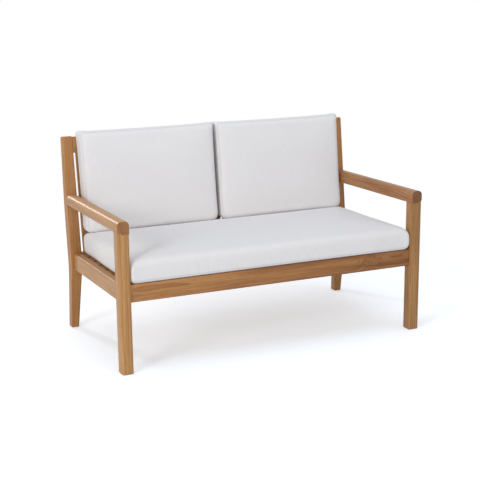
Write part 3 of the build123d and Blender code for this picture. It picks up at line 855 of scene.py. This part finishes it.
# how far the cover is moved at its foot's front edge and at its corners, and how wide round them
foot_fill, top_corner_fill, foot_corner_fill = 0.006, 0.0035, 0.0042
fill_wide, foot_corner_wide = 0.022, 0.020
foot_front, crown_start, crown_lost = 0.008, 0.018, 0.5
front_seam, back_seam = 0.028, 0.005
floor_gap = 0.0005  # the foot never comes nearer than this to its own lowest point
back_cushions = {}
for side in ("left", "right"):
    back_cushion = blown_up(f"back_cushion_{side}", f"back_cushion_{side}_core", cloth_slack)
    skin_points = back_cushion.data.vertices
    t_low = min(v.co.dot(back_out) for v in skin_points)
    t_high = max(v.co.dot(back_out) for v in skin_points)
    x_low, x_high = min(v.co.x for v in skin_points), max(v.co.x for v in skin_points)
    u_high = max(v.co.dot(back_up) for v in skin_points)
    foot = min(v.co.z for v in skin_points)
    # the front is nearly flat: its crown stands half as proud as the foam's, and the boxing
    # fills the corners to a point
    crown_foot = t_low + crown_start
    for vertex in skin_points:
        co = vertex.co
        from_foot = math.hypot(co.dot(back_out) - t_low - foot_front, co.z - foot)
        foot_push = foot_fill * hump(from_foot, 0, fill_wide)
        co -= back_out * foot_push
        co.z -= min(foot_push, max(co.z - foot - floor_gap, 0))
        for x_end, way in ((x_low, -1), (x_high, 1)):
            reach = math.hypot(co.x - x_end, co.dot(back_up) - u_high)
            co += (Vector((way, 0, 0)) + back_up) * (top_corner_fill * hump(reach, 0, fill_wide))
            reach = math.hypot(co.x - x_end, co.z - foot)
            corner_push = foot_corner_fill * hump(reach, 0, foot_corner_wide)
            co.x += way * corner_push
            co.z -= min(corner_push, max(co.z - foot - floor_gap, 0))
        over_foot = crown_foot - co.dot(back_out)
        if over_foot > 0:
            co += back_out * (crown_lost * over_foot)
    lay_fabric(back_cushion, back_out, (t_low + front_seam, t_high - back_seam))
    back_cushion.data.materials.append(cover)
    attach(back_cushion, f"back_cushion_{side}")
    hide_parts(f"back_cushion_{side}_cover", f"back_cushion_{side}_core")
    back_cushions[side] = back_cushion

# Zips
# A nylon coil zip in each cover, so that it comes off for washing: two woven tapes, a row of
# teeth on each, bottom and top stops, and a slider with a pull, moulded in one off-white.


def moulded_nylon(name, hex_colour, rough):
    """Nylon, off-white, satin, with the faint unevenness of a dyed moulding."""
    nylon = bpy.data.materials.new(name)
    nylon.use_nodes = True
    tree = nylon.node_tree
    tree.nodes.clear()
    coords = add_node(tree, "TexCoord")
    mottle = noise(tree, coords.outputs["Object"], 420, 2)
    darker, rougher = 0.86, 0.15
    tint = add_node(
        tree,
        "Mix",
        {"data_type": "RGBA"},
        {6: linear(hex_colour), 7: [darker * c for c in linear(hex_colour)[:3]] + [1]},
        {0: mottle.outputs["Fac"]},
    )
    dull = add_node(
        tree,
        "MapRange",
        values={"To Min": rough, "To Max": rough + rougher},
        links={"Value": mottle.outputs["Fac"]},
    )
    surface = add_node(
        tree,
        "BsdfPrincipled",
        values={"IOR": 1.53},
        links={"Base Color": tint.outputs[2], "Roughness": dull.outputs[0]},
    )
    add_node(tree, "OutputMaterial", links={"Surface": surface.outputs[0]})
    return nylon


zip_nylon = moulded_nylon("moulded_nylon_off_white", "#D8D5CF", 0.38)
tape_length, tape_width, tape_thick = 0.420, 0.0055, 0.0006
tape_gap, tooth_off, teeth_from, stop_from, slider_from = 0.0004, 0.0009, 0.008, 0.004, 0.012
tooth_pitch, tooth_long, tooth_wide, tooth_high = 0.0030, 0.0020, 0.0034, 0.0012
end_pitches = 4  # left without teeth, for the stops at the two ends
stop_size, slider_size = (0.003, 0.006, 0.0020), (0.009, 0.0076, 0.0028)
bridge_size, pull_size = (0.005, 0.0022, 0.0012), (0.022, 0.0040, 0.0012)
slider_up, bridge_up, pull_up, pull_back = 0.0008, 0.0027, 0.0020, 0.013
cover_gap, ray_start = 0.0002, 0.03


def bar(form, size, spot, edge):
    """One rounded bar of the zip, centred at its spot."""
    made = bmesh.ops.create_cube(form, size=1)
    bmesh.ops.scale(form, vec=size, verts=made["verts"])
    edges = list({e for v in made["verts"] for e in v.link_edges})
    rounded = bmesh.ops.bevel(
        form,
        geom=edges,
        offset=edge,
        offset_type="OFFSET",
        affect="EDGES",
        segments=1,
        profile=0.5,
        material=-1,
        clamp_overlap=True,
    )
    verts = {v for f in rounded["faces"] for v in f.verts}
    verts |= {v for v in made["verts"] if v.is_valid}
    bmesh.ops.translate(form, vec=spot, verts=list(verts))


def coil_zip(name, body, node, cushion, outward):
    """A zip laid on its cushion's cover, over the place of the CAD strip. Its length runs
    along X and its width across the cover's side."""
    form = bmesh.new()
    for row in (-1, 1):
        tape_y, teeth_y = row * (tape_width / 2 + tape_gap), row * tooth_off
        bar(form, (tape_length, tape_width, tape_thick), (0, tape_y, 0), edge=0.0002)
        for n in range(int(tape_length / tooth_pitch) - end_pitches):
            along = -tape_length / 2 + teeth_from + n * tooth_pitch + (row + 1) * tooth_pitch / 4
            tooth_spot = (along, teeth_y, tape_thick)
            bar(form, (tooth_long, tooth_wide, tooth_high), tooth_spot, edge=0.0004)
    for end in (-1, 1):
        bar(form, stop_size, (end * (tape_length / 2 - stop_from), 0, tape_thick), edge=0.0006)
    slider_at = tape_length / 2 - slider_from
    bar(form, slider_size, (slider_at, 0, tape_thick + slider_up), edge=0.0010)
    bar(form, bridge_size, (slider_at, 0, tape_thick + bridge_up), edge=0.0005)
    bar(form, pull_size, (slider_at - pull_back, 0, tape_thick + pull_up), edge=0.0005)
    low, high = (Vector(corner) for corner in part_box(node))
    middle = (low + high) / 2
    across = outward.cross(Vector((1, 0, 0)))
    cover_form = bmesh.new()
    cover_form.from_mesh(cushion.data)
    cover_skin = BVHTree.FromBMesh(cover_form)
    cover_form.free()
    for vertex in form.verts:
        over = middle + Vector((vertex.co.x, 0, 0)) + across * vertex.co.y
        spot, _, _, _ = cover_skin.ray_cast(over + outward * ray_start, -outward)
        vertex.co = (spot or over) + outward * (vertex.co.z + cover_gap)
    bmesh.ops.recalc_face_normals(form, faces=form.faces)
    mesh = bpy.data.meshes.new(name)
    form.to_mesh(mesh)
    form.free()
    mesh.materials.append(zip_nylon)
    piece = bpy.data.objects.new(name, mesh)
    bpy.context.scene.collection.objects.link(piece)
    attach(piece, body)
    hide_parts(node)


coil_zip(
    "seat_cushion_coil_zip", "seat_cushion", "seat_cushion_zip", seat_cushion, Vector((0, 1, 0))
)
for side in ("left", "right"):
    coil_zip(
        f"back_cushion_{side}_coil_zip",
        f"back_cushion_{side}",
        f"back_cushion_{side}_zip",
        back_cushions[side],
        Vector((0, 0, -1)),
    )
